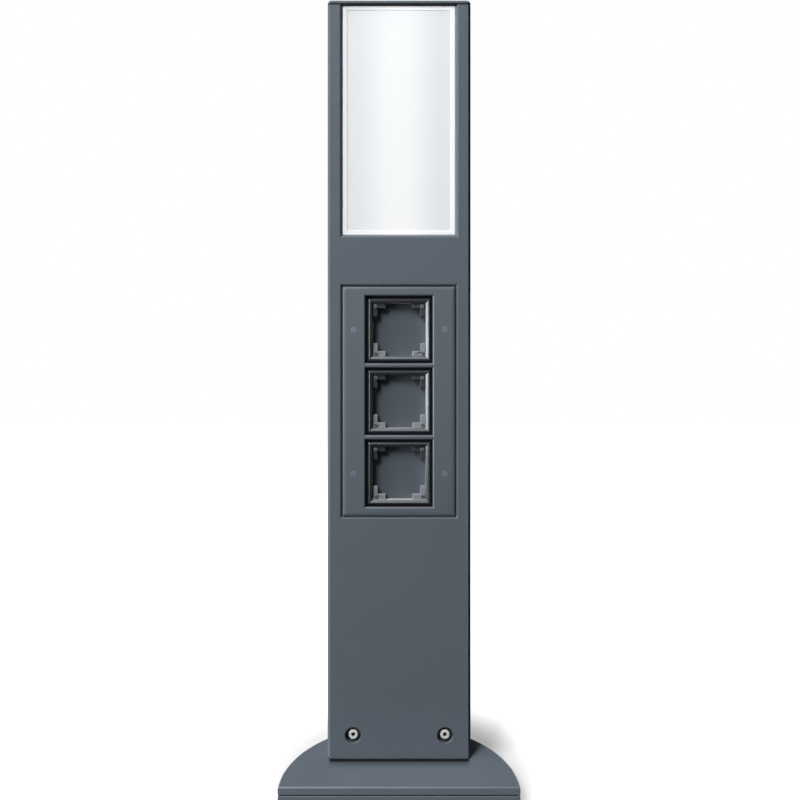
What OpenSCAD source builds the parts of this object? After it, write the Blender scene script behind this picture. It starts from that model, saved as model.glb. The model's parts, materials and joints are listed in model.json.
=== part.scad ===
// Garden socket post: a D-shaped aluminium column on a D-shaped base. A lamp stands behind the
// opal window at the top, and a panel below it has three empty bays for socket inserts.
// The front faces -Y and the origin is in the middle under the base. Sizes are in millimetres.

/* [Base] */
// Radius of the base's round back
base_r = 112; // [108:1:130]
// Distance from the base's straight front edge to the middle of its round back
base_side = 6; // [3:1:12]
// Thickness of the anchor plate
plate_t = 10.4; // [9:0.2:14]
// Thickness of the seal between the anchor plate and the cover
base_seal_t = 1.4; // [1:0.1:2]
// Width of that seal
base_seal_w = 6; // [4:0.5:7]
// How far that seal lies behind the edge of the base
base_seal_inset = 3; // [2:0.5:4]
// Thickness of the cover on the base
cover_t = 7.2; // [6.6:0.2:9]
// Bevel along the cover's upper edge
cover_edge = 1; // [0.6:0.1:1.6]

/* [Anchor holes] */
// Distance between the anchor holes along the front
anchor_dx = 150; // [148:1:156]
// Distance between the two rows of anchor holes
anchor_dy = 40; // [34:1:44]
// Distance of the front row from the front edge of the base
anchor_front = 19; // [18:1:24]
// Diameter of an anchor hole
anchor_d = 9; // [8:0.5:10]
// Diameter of the recess for an anchor nut, in the plate
anchor_sink_d = 18; // [16:0.5:19]
// Thickness of the plate that an anchor nut presses on
anchor_web = 5; // [4:0.5:6]
// Height of the pocket over an anchor nut, in the cover
anchor_pocket_h = 5; // [4:0.5:5.4]

/* [Cable entry] */
// Bore of the rubber bush that the buried cable comes through
cable_bore = 18; // [12:1:20]
// Diameter of the hole in the anchor plate that holds the bush
cable_hole_d = 30; // [26:1:32]
// Diameter of the flanges of the bush
bush_flange_d = 40; // [36:1:42]
// Thickness of each flange of the bush
bush_flange_t = 3; // [2:0.5:4]
// Distance of the cable entry behind the column's front
cable_back = 30; // [28:1:32]

/* [Column] */
// Width of the column's flat front
column_w = 142; // [140:1:150]
// Depth of the column
column_d = 61; // [61:0.5:64]
// Radius of the column's round back
column_arc_r = 102; // [98:1:110]
// Distance of the column's front behind the front edge of the base
column_setback = 47; // [44:1:50]
// Wall of the column
wall = 3; // [2.6:0.1:3.4]
// Width of the slanted front edges, seen from the front
edge_cut_w = 2.5; // [1.5:0.1:2.6]
// Depth of the slanted front edges
edge_cut_d = 4; // [2:0.1:6]
// Radius where the sides turn into the round back
rear_corner_r = 10; // [8:0.5:14]
// Height of the post above the base, with its cap
post_h = 751; // [748:1:790]
// Thickness of the seal under the column
foot_seal_t = 1; // [0.8:0.1:1.5]
// How far the lip of the seal under the column stands out in front
foot_lip = 3.5; // [1:0.5:4]
// How far the seal under the cap lies behind the column's face
seal_recess = 0.6; // [0.4:0.1:1]
// Width of the slot behind the front wall that takes the chassis and the diffuser
slot_w = 3.3; // [3.3:0.1:3.6]
// Thickness of the ribs that form the slot
rib_t = 1.5; // [1.2:0.1:2]
// Depth of the ribs that form the slot, from the side walls
rib_reach = 3.5; // [3:0.5:4]
// Diameter of the screw channels in the column
channel_d = 8; // [7.4:0.2:9]
// Distance of the front screw channels behind the column's front
channel_back = 20; // [18:1:22]
// Half distance between the rear ribs
rear_rib_x = 30; // [28:1:32]
// Width of a rear rib
rear_rib_w = 10; // [9:0.5:12]
// Distance from the front to the face of the rear ribs
rear_rib_back = 46.5; // [46:0.5:47.5]

/* [Column fixing] */
// Half distance between the two screws near the foot
foot_screw_x = 45.5; // [45:0.5:46]
// Height of those screws above the base
foot_screw_h = 24; // [23:1:28]
// Diameter of the sunk hole around each screw
foot_hole_d = 16; // [14:0.5:17]
// Thread of the screws
foot_screw_d = 6; // [5:1:6]
// Thickness of the pad behind the front wall
pad_t = 8; // [7.5:0.5:9]
// Width of a pad
pad_w = 24; // [22:1:25]
// Height of a pad
pad_h = 34; // [30:1:34]
// Depth of the screw's seat in the pad
pad_sink = 5; // [4.5:0.5:5.5]
// Width of a foot bracket
bracket_w = 29; // [28:0.5:30]
// Depth of a foot bracket
bracket_d = 22; // [20:0.5:22]
// Height of a foot bracket
bracket_h = 52; // [50:1:56]
// Thickness of a foot bracket
bracket_t = 4; // [3:0.5:4]

/* [Light] */
// Width of the window that shows the diffuser
window_w = 111.4; // [108:0.2:112]
// Width of the slanted reveal around the window
reveal = 2.7; // [2:0.1:2.8]
// Height of the window's lower edge above the base
window_sill = 519; // [516:1:526]
// Thickness of the diffuser
diffuser_t = 3; // [2.6:0.1:3.1]
// How far the diffuser's rim lies behind the column's front
rim_recess = 2.4; // [2:0.1:2.6]
// Width of the rim around the diffuser's face
rim_w = 2.5; // [2:0.1:4]
// Depth of the face inside the rim
rim_d = 0.6; // [0.4:0.1:0.7]
// Width of the slope between the rim and the face
rim_slope = 1.5; // [1:0.1:2]
// Depth of the stiffening edges behind the diffuser
diffuser_edge = 6; // [4:0.5:6]
// Height of the floor under the light, above the base
floor_h = 475; // [474:1:478]
// Thickness of the floor under the light
floor_t = 2; // [1.5:0.1:2.2]
// Distance of the lamp behind the column's front
lamp_back = 26; // [24:1:28]
// Diameter of each of the lamp's two tubes
tube_d = 17.5; // [15:0.5:18]
// Distance between the two tubes
tube_dx = 20.5; // [20:0.5:22]
// Room between the lamp's tip and the cap, for lifting the lamp out of its holder
lamp_room = 35; // [25:1:45]
// Height of the lamp's base
lamp_base_h = 24; // [20:1:28]
// Height of the lamp holder
holder_h = 24; // [24:1:28]
// Width of the lamp holder
holder_w = 44; // [44:1:48]
// Depth of the lamp holder
holder_d = 24; // [24:1:26]
// Thickness of the reflector's sheet
reflector_t = 1.2; // [0.8:0.1:1.5]

/* [Cap] */
// Thickness of the cap
cap_t = 3.6; // [3.2:0.1:5]
// Thickness of the seal under the cap
cap_seal_t = 1.1; // [0.8:0.1:1.5]
// Thread of the screws that hold the cap
cap_screw_d = 4; // [3:0.5:4]

/* [Socket panel] */
// Width of the panel
panel_w = 111.4; // [108:0.2:112]
// Height of the panel's border above the upper cutout and below the lower one
panel_border = 9.2; // [9:0.1:11]
// Thickness of the panel
panel_t = 3.2; // [2.8:0.1:4]
// Height of the panel's middle above the base
panel_mid = 354; // [352:1:354]
// Width of the bevel around the panel
panel_edge = 3.2; // [2:0.1:3.4]
// Depth of the bevel around the panel
panel_edge_d = 1.5; // [1:0.1:2]
// Gap between the panel and the column
panel_gap = 0.6; // [0.5:0.05:1.2]
// Bevel around the panel's opening in the column
opening_edge = 1.8; // [1:0.1:2]
// Thickness of the seal behind the panel
panel_seal_t = 1; // [0.8:0.1:1.5]
// Width of the seal behind the panel
panel_seal_w = 5; // [4:0.5:5]
// How far the panel's screws lie from its sides
panel_screw_in = 10.7; // [10:0.1:11]
// Thread of the panel's screws
panel_screw_d = 3; // [2.5:0.5:3.5]

/* [Device bays] */
// Distance from one bay to the next
bay_pitch = 71; // [70:0.5:71.5]
// Width and height of each cutout in the panel
cutout = 66.5; // [65:0.5:67.5]
// Bevel around each cutout
cutout_edge = 1.1; // [0.6:0.1:1.2]
// Outer size of a frame
frame_w = 61.5; // [61:0.5:63]
// Clear opening of a frame and of the box behind it
bay_w = 53; // [51:0.5:53]
// Thickness of a frame
frame_t = 2; // [1.8:0.1:2.4]
// Width of the slope on the inner side of a frame
frame_slope = 2.6; // [2:0.1:2.8]
// Height of both slopes of a frame
frame_rise = 1.4; // [1:0.1:1.6]
// Depth of the blank plate below the front of the frame
blank_depth = 9.8; // [8:0.2:11]
// Thickness of the blank plate
blank_t = 1.5; // [1.2:0.1:2]
// Length of the arms of a corner clip
clip_arm = 13.5; // [12:0.5:15]
// Width of the arms of a corner clip
clip_w = 5.5; // [5.5:0.1:6]
// Depth of the clips below the front of the frame
clip_depth = 3.6; // [3:0.1:4]
// Wall of a device box
box_wall = 1.4; // [1.2:0.1:1.6]
// Depth of a device box behind the chassis
box_d = 40; // [36:0.5:40]
// Thickness of the flange in front of a device box
box_flange_t = 1; // [0.8:0.1:1.4]
// Diameter of the openings through which the boxes are linked
link_d = 16; // [14:0.5:18]
// Thickness of the chassis
chassis_t = 3; // [2.6:0.1:3.1]
// Height of the service opening in the chassis, above the base
service_h = 222; // [215:1:225]

/* [Electrical parts] */
// Half width of the mounting plate
mount_x = 44; // [42:0.5:44]
// Thickness of the mounting plate
mount_t = 2; // [1.5:0.1:2.5]
// Height of the mounting plate's lower edge above the base
mount_low = 60; // [58:1:62]
// Height of the mounting plate's upper edge above the base
mount_high = 225; // [222:1:226]
// Number of poles of the terminal block
poles = 5; // [3:1:5]
// Width of one pole
pole_w = 10; // [9:0.2:10]
// Height of the terminal block
terminal_h = 32; // [28:1:34]
// Depth of the terminal block
terminal_d = 22; // [20:1:24]
// Height of the middle of the terminal block above the base
terminal_mid = 90; // [90:1:92]
// Width of the control gear
gear_w = 60; // [50:1:60]
// Length of the control gear
gear_l = 90; // [80:1:90]
// Depth of the control gear
gear_d = 24; // [20:1:26]
// Height of the control gear's lower end above the base
gear_low = 115; // [113:1:118]
// Diameter of the lead to the lamp
lead_d = 6; // [5:0.5:7]
// Bend radius of the lead
lead_bend = 12; // [10:1:14]
// Distance of the lead from the post's middle plane
lead_x = 48; // [46:1:50]

/* [Clearances] */
// Side clearance where one piece fits in another
fit_gap = 0.2; // [0.15:0.05:0.3]
// Clearance all round a screw in its thread or a pin in its socket
thread_gap = 0.05; // [0.03:0.01:0.09]
// Clearance all round a screw where it passes a plate
pass_gap = 0.3; // [0.2:0.05:0.4]

/* [Hidden] */
$fn = 72;
// A cut runs this far past the faces that it goes through
over = 1;

base_d = base_side + base_r;
base_front = -base_d / 2;
base_mid_y = base_front + base_side;
base_h = plate_t + base_seal_t + cover_t;

front_y = base_front + column_setback;
wall_y = front_y + wall;
arc_y = front_y + column_d - column_arc_r;
column_z = base_h + foot_seal_t;
column_top = base_h + post_h - cap_t - cap_seal_t;
turn_x = column_w / 2 - rear_corner_r;
turn_y = arc_y + sqrt(pow(column_arc_r - rear_corner_r, 2) - pow(turn_x, 2));
inner_x = column_w / 2 - wall;
rear_rib_y = front_y + rear_rib_back;
channel_x = inner_x + 0.5 - channel_d / 2;
channel_y = front_y + channel_back;
channel_bore = cap_screw_d + 2 * thread_gap;
rear_bore_y = rear_rib_y + 5;
rib_bite = 7;

chassis_y = wall_y + (slot_w - chassis_t) / 2;
panel_y = chassis_y - panel_seal_t - panel_t;
panel_z = base_h + panel_mid;
panel_h = 2 * bay_pitch + cutout + 2 * panel_border;
panel_screw_x = panel_w / 2 - panel_screw_in;
opening_w = panel_w + 2 * panel_gap;
opening_h = panel_h + 2 * panel_gap;
bays = [for (step = [1, 0, -1]) panel_z + step * bay_pitch];
bay_names = ["1", "2", "3"];

box_y = chassis_y - box_flange_t;
frame_y = box_y - frame_t;
blank_y = frame_y + blank_depth;
clip_y = frame_y + clip_depth;
box_out = bay_w + 2 * box_wall;
boss_w = 8;
clip_screw_d = 2;
clip_screw_in = 3.3;
clip_screw_grip = 6;
link_y = chassis_y + box_d / 2 + 4;

floor_z = base_h + floor_h;
diffuser_y = wall_y + (slot_w - diffuser_t) / 2;
diffuser_w = 2 * (inner_x - 2 * fit_gap);
diffuser_top = column_top - fit_gap;
rim_y = front_y + rim_recess;
past_column = 20;
// Inset and height of the steps that round the upper and lower edges of the cap
cap_steps = [[0.6, 0], [0, 0.6], [0, cap_t - 1.7], [0.5, cap_t - 0.7], [1.6, cap_t]];
lamp_y = front_y + lamp_back;
holder_top = floor_z + holder_h;
throat_wall = 2.5;
throat_h = 5;
holder_ear_w = 9;
holder_ear_d = 8;
holder_ear_t = 3;
holder_ear_y = lamp_y - 10;
pin_pitch = 10;
pin_xs = [for (step = [-1.5, -0.5, 0.5, 1.5]) step * pin_pitch];
pin_d = 2.4;
pin_l = 8;
reflector_rise = 30;
reflector_low = floor_z + reflector_rise;
reflector_high = column_top - 2.5;
reflector_back_x = 44;
reflector_front_x = 60;
reflector_front_y = front_y + 13;
reflector_screw_in = 15;

bracket_y = wall_y + pad_t + fit_gap;
foot_screw_z = base_h + foot_screw_h;
foot_head_d = 10;
foot_head_h = 6;
foot_bolt_d = 6;
foot_bolt_y = bracket_y + 12;
foot_bolt_half = 7;
cover_screw_d = 5;
cover_screw_bite = 5;
cover_boss_d = 12;
// The cover's screws lie this far inside the round edge, at these angles round its middle
cover_screw_in = 18;
cover_screw_angles = [11, 75];
cable_y = front_y + cable_back;
bush_top = plate_t + bush_flange_t;

mount_y = rear_rib_y - mount_t;
m4_head_d = 7;
m4_head_h = 2.6;
m4_d = 4;
m3_d = 3;
m3_head_d = 5.6;
m3_head_h = 2;
terminal_x = 8;
terminal_foot_t = 4;
terminal_foot_h = 10;
terminal_foot_reach = 9;
earth_x = -34;
earth_d = 6;
gear_ear_w = 11;
gear_ear_t = 2;
gear_ear_h = 16;
clamp_screw_d = 6;
wire_hole_d = 5.6;
wire_back = 9;
lead_y = mount_y - 10.5;
gear_out_z = base_h + gear_low + gear_l - 10;
holder_in_z = floor_z + 17;

// Carries a section drawn as (y, z) along X, for a length centred on the middle plane
module carry_x(length) {
    rotate([90, 0, 90]) linear_extrude(length, center = true) children();
}

// Carries a front view drawn as (x, z) back from the plane y, for a thickness
module carry_y(y, thickness) {
    translate([0, y + thickness, 0]) rotate([90, 0, 0]) linear_extrude(thickness) children();
}

// Points the child's +Z into the post, along +Y
module into_post() {
    rotate([-90, 0, 0]) children();
}

// Draws the child at x and at -x
module both_sides(x) {
    for (side = [-1, 1]) translate([side * x, 0, 0]) children();
}

// A block whose front is bevelled all round: w by h, from y_front to y_back
module bevelled_block(w, h, y_front, y_back, edge, edge_d) {
    function section(half) = [
        [-half, y_back], [-half, y_front + edge_d], [-half + edge, y_front],
        [half - edge, y_front], [half, y_front + edge_d], [half, y_back]];
    intersection() {
        translate([0, 0, -h / 2]) linear_extrude(h) polygon(section(w / 2));
        carry_x(w) polygon([for (p = section(h / 2)) [p[1], p[0]]]);
    }
}

// A hole through a wall that widens towards the front: clear size w by h
module bevelled_hole(w, h, y_front, y_back, edge, edge_d) {
    function section(half) = [
        [-half, y_back + over], [-half, y_front + edge_d], [-half - edge, y_front],
        [-half - edge, y_front - over], [half + edge, y_front - over],
        [half + edge, y_front], [half, y_front + edge_d], [half, y_back + over]];
    intersection() {
        translate([0, 0, -h / 2 - edge - over]) linear_extrude(h + 2 * (edge + over))
            polygon(section(w / 2));
        carry_x(w + 2 * (edge + over)) polygon([for (p = section(h / 2)) [p[1], p[0]]]);
    }
}

// A screw along +Z with a round head under z = 0 and a hexagon socket of the width key
module screw(d, length, head_d, head_h, key) {
    difference() {
        union() {
            cylinder(d = d, h = length);
            translate([0, 0, -head_h]) cylinder(d = head_d, h = head_h);
        }
        translate([0, 0, -head_h - over]) cylinder(d = key / cos(30), h = head_h * 0.55 + over, $fn = 6);
    }
}

// A screw along +Z whose head is sunk: its flat top, with a hexagon socket, lies at z = 0
module sunk_screw(d, length, head_d, key) {
    difference() {
        union() {
            cylinder(d = d, h = length);
            cylinder(d1 = head_d, d2 = d, h = (head_d - d) / 2);
        }
        translate([0, 0, -over]) cylinder(d = key / cos(30), h = (head_d - d) / 2 + over, $fn = 6);
    }
}

// The hole for a sunk screw, with its countersink at z = 0
module sunk_hole(d, depth, head_d) {
    wide = head_d + 2 * fit_gap;
    translate([0, 0, -over]) cylinder(d = d + 2 * pass_gap, h = depth + 2 * over);
    translate([0, 0, -over]) cylinder(d = wide, h = over);
    cylinder(d1 = wide, d2 = d, h = (wide - d) / 2);
}

// Outline of the base, drawn in by the inset
module base_outline(inset) {
    intersection() {
        translate([0, base_mid_y]) circle(r = base_r - inset, $fn = 180);
        translate([-base_r, base_front + inset]) square([2 * base_r, base_d]);
    }
}

// Outline of the column, drawn in by the inset: flat front, straight sides, round back
module column_outline(inset) {
    half = column_w / 2 - inset;
    front = front_y + inset;
    cut_w = edge_cut_w - inset;
    cut_d = cut_w * edge_cut_d / edge_cut_w;
    if (cut_w > 0) {
        polygon([[-half, turn_y], [-half, front + cut_d], [-half + cut_w, front],
            [half - cut_w, front], [half, front + cut_d], [half, turn_y]]);
    } else {
        translate([-half, front]) square([2 * half, turn_y - front]);
    }
    for (side = [-1, 1]) translate([side * turn_x, turn_y]) circle(r = rear_corner_r - inset);
    intersection() {
        translate([0, arc_y]) circle(r = column_arc_r - inset, $fn = 180);
        rear_sector();
    }
}

// The sector behind the column's two rear turns, which the round back fills
module rear_sector() {
    reach = 2;
    far_x = turn_x * reach;
    far_y = arc_y + (turn_y - arc_y) * reach;
    polygon([[-turn_x, turn_y], [-far_x, far_y], [far_x, far_y], [turn_x, turn_y]]);
}

module at_anchors() {
    for (x = [-anchor_dx / 2, anchor_dx / 2], y = [0, anchor_dy])
        translate([x, base_front + anchor_front + y, 0]) children();
}

module at_foot_bolts() {
    for (x = [foot_screw_x - foot_bolt_half, foot_screw_x + foot_bolt_half])
        both_sides(x) translate([0, foot_bolt_y, 0]) children();
}

module at_cover_screws() {
    r = base_r - cover_screw_in;
    for (turn = cover_screw_angles)
        both_sides(r * cos(turn)) translate([0, base_mid_y + r * sin(turn), 0]) children();
}

module at_cap_screws() {
    both_sides(channel_x) translate([0, channel_y, 0]) children();
    both_sides(rear_rib_x) translate([0, rear_bore_y, 0]) children();
}

module at_panel_screws() {
    for (z = [bays[0], bays[2]]) both_sides(panel_screw_x) translate([0, 0, z]) children();
}

module at_bay_corners(inward) {
    for (x = [-1, 1], z = [-1, 1])
        translate([x * (bay_w / 2 - inward), 0, z * (bay_w / 2 - inward)]) children();
}

module base_plate() {
    color("dimgray") difference() {
        linear_extrude(plate_t) base_outline(0);
        at_anchors() {
            translate([0, 0, -over]) cylinder(d = anchor_d, h = plate_t + 2 * over);
            translate([0, 0, anchor_web]) cylinder(d = anchor_sink_d, h = plate_t);
        }
        translate([0, cable_y, -over]) {
            cylinder(d = cable_hole_d, h = plate_t + 2 * over);
            cylinder(d = bush_flange_d + 2 * fit_gap, h = bush_flange_t + over);
        }
        at_foot_bolts() sunk_hole(foot_bolt_d, plate_t, 2 * foot_bolt_d);
        at_cover_screws() sunk_hole(cover_screw_d, plate_t, 2 * cover_screw_d);
    }
}

module base_seal() {
    color("black") translate([0, 0, plate_t]) linear_extrude(base_seal_t) difference() {
        base_outline(base_seal_inset);
        base_outline(base_seal_inset + base_seal_w);
    }
}

module base_cover() {
    window_gap = 2;
    cover_z = plate_t + base_seal_t;
    edge_z = cover_t - cover_edge;
    back_y = base_mid_y + base_r;
    color("dimgray") difference() {
        union() {
            translate([0, 0, cover_z]) intersection() {
                translate([0, base_mid_y, 0]) union() {
                    cylinder(r = base_r, h = edge_z, $fn = 180);
                    translate([0, 0, edge_z])
                        cylinder(r1 = base_r, r2 = base_r - cover_edge, h = cover_edge, $fn = 180);
                }
                carry_x(2 * base_r + 2) polygon([[base_front, 0], [base_front, edge_z],
                    [base_front + cover_edge, cover_t], [back_y, cover_t], [back_y, 0]]);
            }
            at_cover_screws() translate([0, 0, plate_t]) cylinder(d = cover_boss_d, h = base_seal_t + over);
        }
        at_anchors() translate([0, 0, plate_t])
            cylinder(d = anchor_sink_d + 2, h = base_seal_t + anchor_pocket_h);
        both_sides(foot_screw_x)
            translate([-bracket_w / 2 - window_gap, bracket_y - window_gap / 2, cover_z - over])
                cube([bracket_w + 2 * window_gap, bracket_d + window_gap, cover_t + 2 * over]);
        translate([0, cable_y, cover_z - over])
            cylinder(d = bush_flange_d + 2 * window_gap, h = cover_t + 2 * over);
        at_cover_screws() translate([0, 0, plate_t - over])
            cylinder(d = cover_screw_d + 2 * thread_gap, h = base_seal_t + cover_screw_bite + over);
    }
}

module cover_screws() {
    color("silver") at_cover_screws() sunk_screw(cover_screw_d,
        plate_t + base_seal_t + cover_screw_bite - fit_gap, 2 * cover_screw_d, 3);
}

module cable_bush() {
    neck_d = cable_hole_d - 2 * thread_gap;
    color("black") translate([0, cable_y, 0]) difference() {
        union() {
            cylinder(d = bush_flange_d, h = bush_flange_t);
            cylinder(d = neck_d, h = bush_top);
            translate([0, 0, plate_t]) cylinder(d = bush_flange_d, h = bush_flange_t);
        }
        translate([0, 0, -over]) cylinder(d = cable_bore, h = bush_top + 2 * over);
    }
}

module foot_brackets() {
    gusset = 18;
    color("silver") both_sides(foot_screw_x) translate([-bracket_w / 2, bracket_y, plate_t]) difference() {
        union() {
            cube([bracket_w, bracket_t, bracket_h]);
            cube([bracket_w, bracket_d, bracket_t]);
            for (x = [bracket_t / 2, bracket_w - bracket_t / 2])
                translate([x, bracket_t / 2, bracket_t / 2]) carry_x(bracket_t)
                    polygon([[0, 0], [gusset, 0], [0, gusset]]);
        }
        translate([bracket_w / 2, -over, foot_screw_z - plate_t]) into_post()
            cylinder(d = foot_screw_d + 2 * thread_gap, h = bracket_t + 2 * over);
        both_sides(foot_bolt_half) translate([bracket_w / 2, foot_bolt_y - bracket_y, -over])
            cylinder(d = foot_bolt_d + 2 * thread_gap, h = bracket_t + 2 * over);
    }
}

module foot_bolts() {
    color("silver") at_foot_bolts() sunk_screw(foot_bolt_d, plate_t + bracket_t, 2 * foot_bolt_d, 4);
}

module bracket_nuts() {
    nut_w = 10;
    nut_h = 5;
    color("silver") both_sides(foot_screw_x) translate([0, bracket_y + bracket_t, foot_screw_z])
        into_post() difference() {
            cylinder(d = nut_w / cos(30), h = nut_h, $fn = 6);
            translate([0, 0, -over]) cylinder(d = foot_screw_d + 2 * thread_gap, h = nut_h + 2 * over);
        }
}

module foot_seal() {
    lip_x = column_w / 2 - edge_cut_w;
    color("black") translate([0, 0, base_h]) linear_extrude(foot_seal_t) difference() {
        union() {
            column_outline(0);
            translate([-lip_x, front_y - foot_lip]) square([2 * lip_x, foot_lip + wall]);
        }
        column_outline(wall);
    }
}

// Section of the column: its skin, the slot ribs, the front screw channels and the rear ribs
module column_section() {
    rib_in = inner_x - rib_reach;
    difference() {
        union() {
            difference() {
                column_outline(0);
                column_outline(wall);
            }
            for (side = [-1, 1]) {
                translate([side * channel_x, channel_y]) circle(d = channel_d);
                translate([side * (rib_in + rib_reach / 2 + wall / 4), wall_y + slot_w + rib_t / 2])
                    square([rib_reach + wall / 2, rib_t], center = true);
                intersection() {
                    translate([side * rear_rib_x - rear_rib_w / 2, rear_rib_y])
                        square([rear_rib_w, column_d]);
                    column_outline(wall / 2);
                }
            }
        }
        at_cap_screws() circle(d = channel_bore);
    }
}

module column_profile() {
    window_h = column_top - base_h - window_sill + past_column;
    color("slategray") difference() {
        translate([0, 0, column_z]) linear_extrude(column_top - column_z) column_section();
        at_mount_screws() rib_screw_hole();
        at_floor_screws() rib_screw_hole();
        at_reflector_screws() rib_screw_hole();
        translate([0, 0, base_h + window_sill + window_h / 2])
            bevelled_hole(window_w, window_h, front_y, wall_y, reveal, wall);
        translate([0, 0, panel_z])
            bevelled_hole(opening_w, opening_h, front_y, wall_y, opening_edge, opening_edge);
        both_sides(foot_screw_x) translate([0, front_y - over, foot_screw_z]) into_post()
            cylinder(d = foot_hole_d, h = wall + 2 * over);
    }
}

module screw_pads() {
    color("slategray") both_sides(foot_screw_x) translate([0, wall_y, foot_screw_z]) difference() {
        translate([-pad_w / 2, 0, -pad_h / 2]) cube([pad_w, pad_t, pad_h]);
        translate([0, -over, 0]) into_post() cylinder(d = foot_hole_d, h = pad_sink + over);
        translate([0, -over, 0]) into_post()
            cylinder(d = foot_screw_d + 2 * pass_gap, h = pad_t + 2 * over);
    }
}

module column_screws() {
    past_nut = 11;
    length = pad_t - pad_sink + bracket_t + past_nut;
    color("silver") both_sides(foot_screw_x) translate([0, wall_y + pad_sink, foot_screw_z])
        into_post() screw(foot_screw_d, length, foot_head_d, foot_head_h, 4);
}

module chassis() {
    leg_in = foot_screw_x + pad_w / 2 + 1;
    top = floor_z - floor_t;
    hole_w = box_out + 2 * fit_gap;
    color("darkgray") difference() {
        carry_y(chassis_y, chassis_t) difference() {
            translate([-diffuser_w / 2, base_h]) square([diffuser_w, top - base_h]);
            translate([-leg_in, base_h - over]) square([2 * leg_in, service_h + over]);
            for (z = bays) translate([-hole_w / 2, z - hole_w / 2]) square(hole_w);
        }
        at_panel_screws() translate([0, chassis_y - over, 0]) into_post()
            cylinder(d = panel_screw_d + 2 * thread_gap, h = chassis_t + 2 * over);
    }
}

module device_box(z) {
    flange_w = frame_w - 1.5;
    color("whitesmoke") translate([0, 0, z]) difference() {
        union() {
            carry_y(box_y, box_flange_t) square(flange_w, center = true);
            carry_y(box_y, box_flange_t + box_d) square(box_out, center = true);
        }
        difference() {
            carry_y(box_y - over, box_flange_t + box_d - box_wall + over) square(bay_w, center = true);
            at_bay_corners(0) translate([0, blank_y + blank_t + box_d / 2, 0])
                cube([2 * boss_w, box_d, 2 * boss_w], center = true);
        }
        at_bay_corners(clip_screw_in) translate([0, blank_y, 0]) into_post()
            cylinder(d = clip_screw_d + 2 * thread_gap, h = blank_t + clip_screw_grip + fit_gap);
        translate([0, link_y, 0]) cylinder(d = link_d, h = box_out + 2 * over, center = true);
    }
}

module box_links() {
    color("whitesmoke") for (z = [bays[0] - bay_pitch / 2, bays[1] - bay_pitch / 2])
        translate([0, link_y, z]) difference() {
            length = bay_pitch - bay_w;
            cylinder(d = link_d - 2 * thread_gap, h = length, center = true);
            cylinder(d = link_d - 3, h = length + 2 * over, center = true);
        }
}

module insert_frame(z) {
    outer_slope = (frame_w - bay_w) / 2 - frame_slope;
    color("slategray") translate([0, 0, z]) difference() {
        bevelled_block(frame_w, frame_w, frame_y, box_y, outer_slope, frame_rise);
        bevelled_hole(bay_w, bay_w, frame_y, box_y, frame_slope, frame_rise);
    }
}

module blank_plate(z) {
    plate_w = bay_w - 2 * fit_gap;
    color("slategray") translate([0, 0, z]) difference() {
        carry_y(blank_y, blank_t) square(plate_w, center = true);
        at_bay_corners(clip_screw_in) translate([0, blank_y - over, 0]) into_post()
            cylinder(d = clip_screw_d + 2 * pass_gap, h = blank_t + 2 * over);
    }
}

module corner_clips(z) {
    arm = clip_arm - fit_gap;
    thick = clip_w - fit_gap;
    color("darkslategray") translate([0, 0, z]) difference() {
        for (x = [0, 1], up = [0, 1]) mirror([x, 0, 0]) mirror([0, 0, up])
            translate([bay_w / 2 - fit_gap, 0, bay_w / 2 - fit_gap]) carry_y(clip_y, blank_y - clip_y) {
                translate([-arm, -thick]) square([arm, thick]);
                translate([-thick, -arm]) square([thick, arm]);
            }
        at_bay_corners(clip_screw_in) translate([0, clip_y - over, 0]) into_post()
            cylinder(d = clip_screw_d + 2 * pass_gap, h = blank_y - clip_y + 2 * over);
    }
}

module clip_screws() {
    length = blank_y + blank_t - clip_y + clip_screw_grip;
    color("silver") for (z = bays) translate([0, clip_y, z]) at_bay_corners(clip_screw_in)
        into_post() screw(clip_screw_d, length, 3.8, 1.5, 1.5);
}

module socket_panel() {
    color("slategray") difference() {
        translate([0, 0, panel_z])
            bevelled_block(panel_w, panel_h, panel_y, panel_y + panel_t, panel_edge, panel_edge_d);
        for (z = bays) translate([0, 0, z])
            bevelled_hole(cutout, cutout, panel_y, panel_y + panel_t, cutout_edge, cutout_edge);
        at_panel_screws() translate([0, panel_y, 0]) into_post()
            sunk_hole(panel_screw_d, panel_t, 2 * panel_screw_d);
    }
}

module panel_seal() {
    inset = 1.5;
    outer_w = panel_w - 2 * inset;
    outer_h = panel_h - 2 * inset;
    color("black") carry_y(panel_y + panel_t, panel_seal_t) translate([0, panel_z]) difference() {
        square([outer_w, outer_h], center = true);
        square([outer_w - 2 * panel_seal_w, outer_h - 2 * panel_seal_w], center = true);
    }
}

module panel_screws() {
    past_chassis = 1;
    color("silver") at_panel_screws() translate([0, panel_y, 0]) into_post()
        sunk_screw(panel_screw_d, panel_t + panel_seal_t + chassis_t + past_chassis, 2 * panel_screw_d, 2);
}

module mounting_plate() {
    color("lightgray") difference() {
        carry_y(mount_y, mount_t) translate([-mount_x, base_h + mount_low])
            square([2 * mount_x, mount_high - mount_low]);
        at_mount_screws() translate([0, mount_y - over, 0]) into_post()
            cylinder(d = m4_d + 2 * pass_gap, h = mount_t + 2 * over);
        at_gear_screws() translate([0, mount_y - over, 0]) into_post()
            cylinder(d = m4_d + 2 * thread_gap, h = mount_t + 2 * over);
        at_terminal_fixings() translate([0, mount_y - over, 0]) into_post()
            cylinder(d = m3_d + 2 * thread_gap, h = mount_t + 2 * over);
    }
}

module at_mount_screws() {
    for (z = [mount_low + 6, mount_high - 6])
        both_sides(rear_rib_x) translate([0, 0, base_h + z]) children();
}

// A screw that holds a sheet on a rear rib
module rib_screw(sheet_t) {
    translate([0, rear_rib_y - sheet_t, 0]) into_post()
        screw(m4_d, sheet_t + rib_bite, m4_head_d, m4_head_h, 3);
}

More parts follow.
